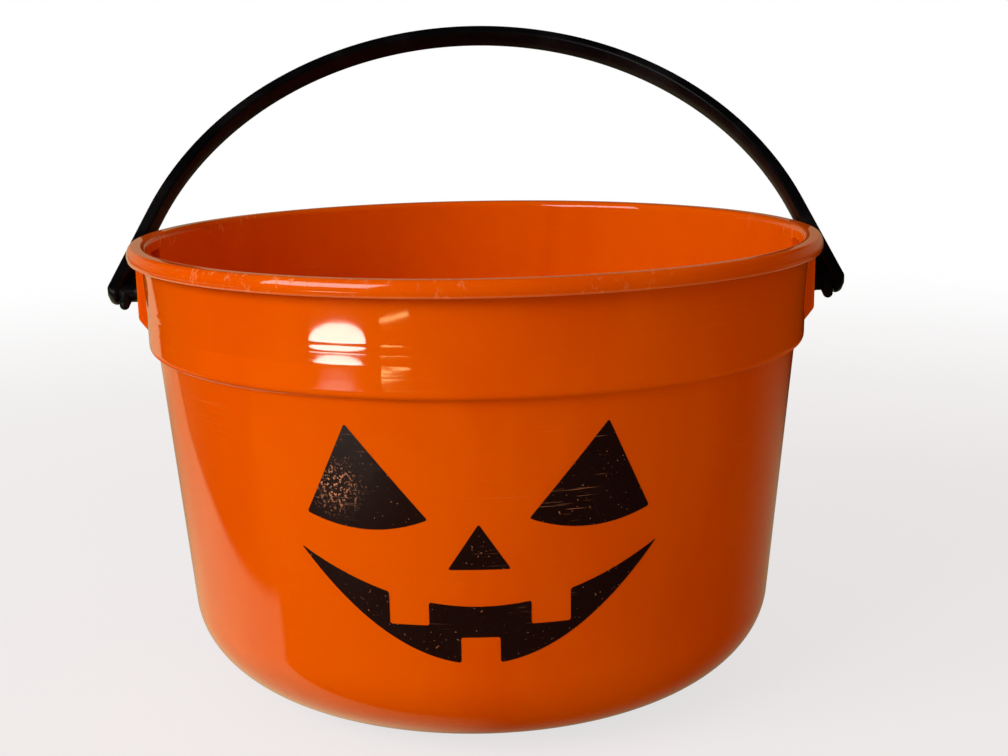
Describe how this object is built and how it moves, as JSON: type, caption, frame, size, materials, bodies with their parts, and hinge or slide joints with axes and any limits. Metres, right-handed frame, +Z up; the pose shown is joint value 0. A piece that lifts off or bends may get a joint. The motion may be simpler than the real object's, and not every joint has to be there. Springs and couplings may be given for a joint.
{
  "type": "halloween bucket",
  "caption": "Small moulded trick-or-treat bucket with a rolled rim, a collar band, a round-cornered base, a printed jack-o'-lantern face and a swinging bail handle.",
  "frame": {"origin": "centre of the resting plane, on the bucket's axis", "axes": "+Z up along the bucket's axis, +X to the right as seen from the printed front and along the bail's pin axis, -Y towards the printed front"},
  "size_m": [0.2076, 0.191, 0.1826],
  "materials": {
    "orange_plastic": "glossy moulded polypropylene, bright orange, faintly translucent",
    "black_plastic": "glossy black moulded plastic",
    "print_ink": "screen-printed ink, brown-black, slightly glossy"
  },
  "bodies": {
    "pail": {"bucket": "orange_plastic", "left_eye_print": "print_ink", "right_eye_print": "print_ink", "nose_print": "print_ink", "mouth_print": "print_ink"},
    "bail": {"bail_handle": "black_plastic"}
  },
  "joints": [
    {"name": "bail_swing", "type": "hinge", "parent": "pail", "child": "bail", "pos_m": [0, 0, 0.1094], "axis": [1, 0, 0], "range_deg": [-77, 181]}
  ]
}
